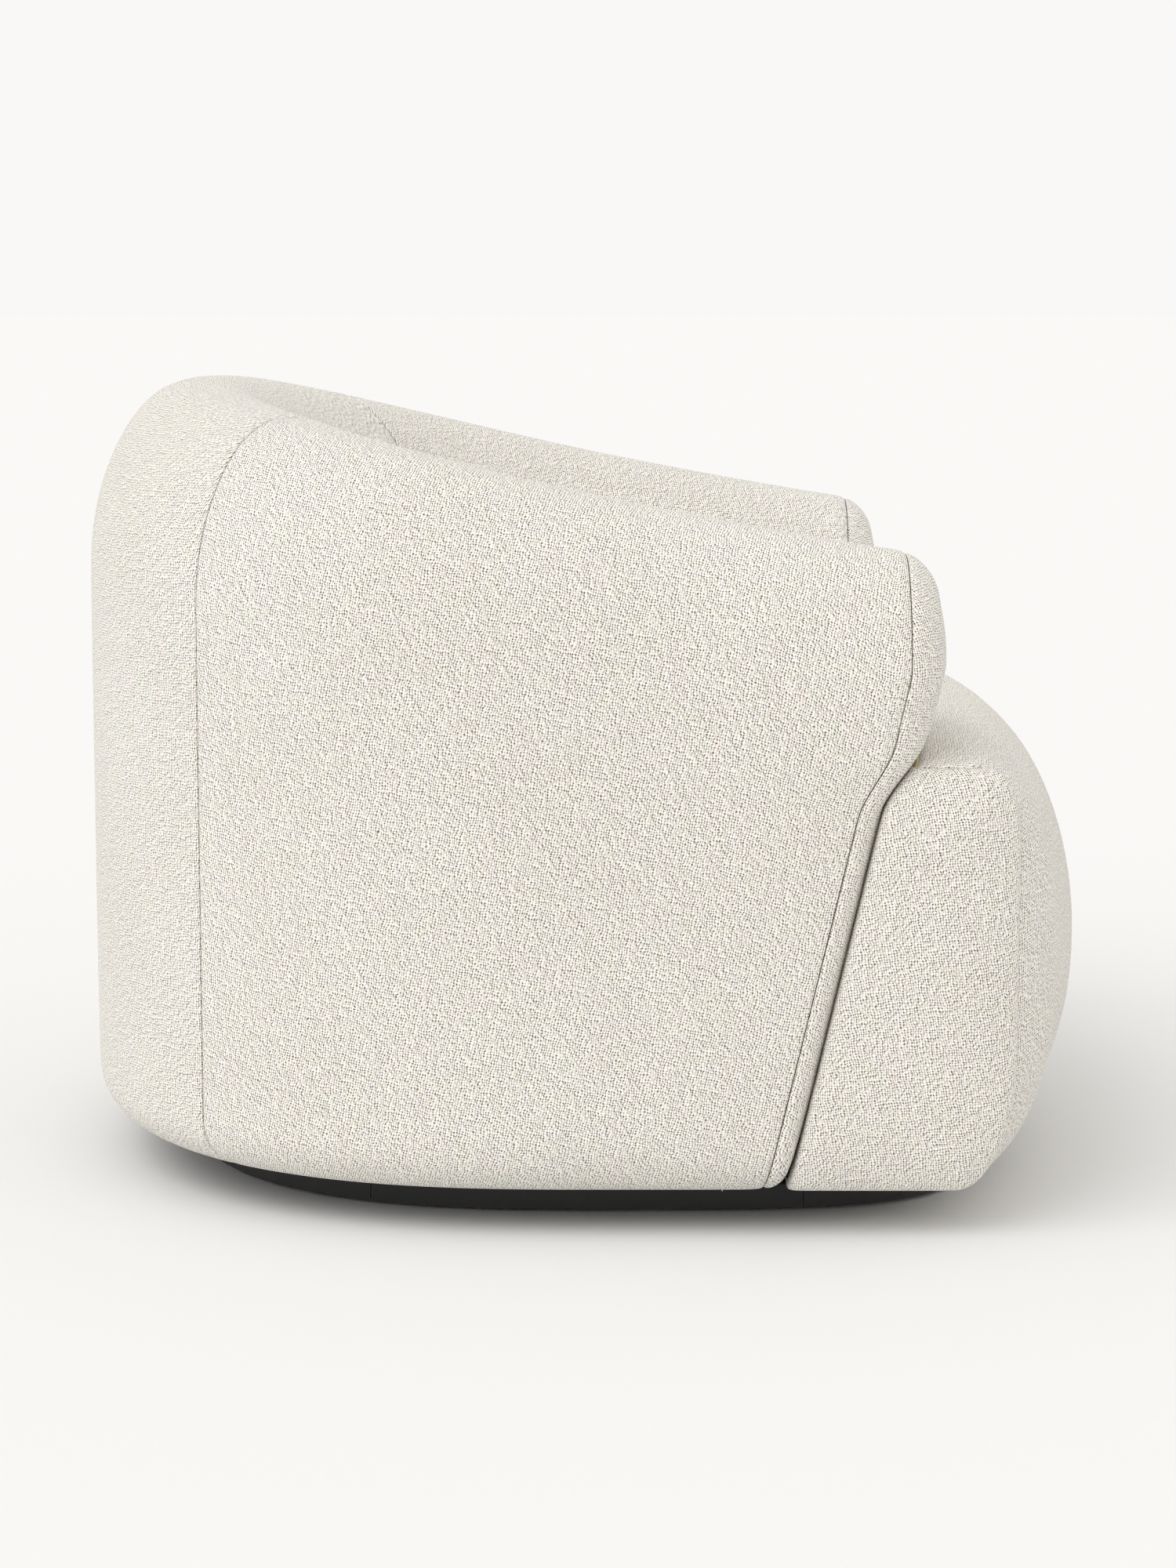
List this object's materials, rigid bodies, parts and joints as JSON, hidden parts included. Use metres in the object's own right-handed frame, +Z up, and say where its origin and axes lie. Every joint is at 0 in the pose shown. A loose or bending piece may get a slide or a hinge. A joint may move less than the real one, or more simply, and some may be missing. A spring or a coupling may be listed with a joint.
{
  "type": "upholstered armchair",
  "caption": "Rounded lounge armchair: a padded back-and-arm wrap with a sloping rim around a full-width padded seat block, on a low recessed plinth.",
  "frame": {"origin": "on the floor, under the middle of the chair's bounding box", "axes": "+Z up; the sitter looks along -Y, so the back is at +Y, and the sitter's right arm is on the -X side"},
  "size_m": [0.98, 0.9655, 0.7538],
  "materials": {
    "fabric": "coarse off-white basket weave with thick nubby yarns",
    "foam": "cream upholstery foam, hidden under the covers",
    "timber": "raw sawn hardwood and plywood",
    "webbing": "brown elastic webbing",
    "black_board": "black painted board, satin",
    "black_felt": "black non-woven cloth and felt",
    "steel": "zinc-plated steel"
  },
  "bodies": {
    "root": {"arm_base_board_left": "timber", "arm_base_board_right": "timber", "arm_cover_left": "fabric", "arm_cover_right": "fabric", "arm_foam_left": "foam", "arm_foam_right": "foam", "arm_front_cover_left": "fabric", "arm_front_cover_right": "fabric", "arm_front_post_left": "timber", "arm_front_post_right": "timber", "arm_rear_post_left": "timber", "arm_rear_post_right": "timber", "arm_top_rail_left": "timber", "arm_top_rail_right": "timber", "back_base_board": "timber", "back_cover": "fabric", "back_foam": "foam", "back_post_left": "timber", "back_post_right": "timber", "back_top_rail": "timber", "back_webbing_1": "webbing", "back_webbing_2": "webbing", "dust_cover": "black_felt", "glide_front_left": "black_felt", "glide_front_right": "black_felt", "glide_rear_left": "black_felt", "glide_rear_right": "black_felt", "plinth_back": "black_board", "plinth_front": "black_board", "plinth_left": "black_board", "plinth_right": "black_board", "seat_bolt_1": "steel", "seat_bolt_2": "steel", "seat_bolt_3": "steel", "seat_bolt_4": "steel", "seat_corner_block_front_left": "timber", "seat_corner_block_front_right": "timber", "seat_corner_block_rear_left": "timber", "seat_corner_block_rear_right": "timber", "seat_cover": "fabric", "seat_foam": "foam", "seat_front_foam": "foam", "seat_front_rail": "timber", "seat_rear_rail": "timber", "seat_side_cover_left": "fabric", "seat_side_cover_right": "fabric", "seat_side_rail_left": "timber", "seat_side_rail_right": "timber", "seat_webbing_cross_1": "webbing", "seat_webbing_cross_2": "webbing", "seat_webbing_long_1": "webbing", "seat_webbing_long_2": "webbing", "seat_webbing_long_3": "webbing", "seat_webbing_long_4": "webbing", "seat_wing_foam_left": "foam", "seat_wing_foam_right": "foam", "wrap_bolt_1": "steel", "wrap_bolt_2": "steel", "wrap_bolt_3": "steel", "wrap_bolt_4": "steel"}
  },
  "joints": []
}
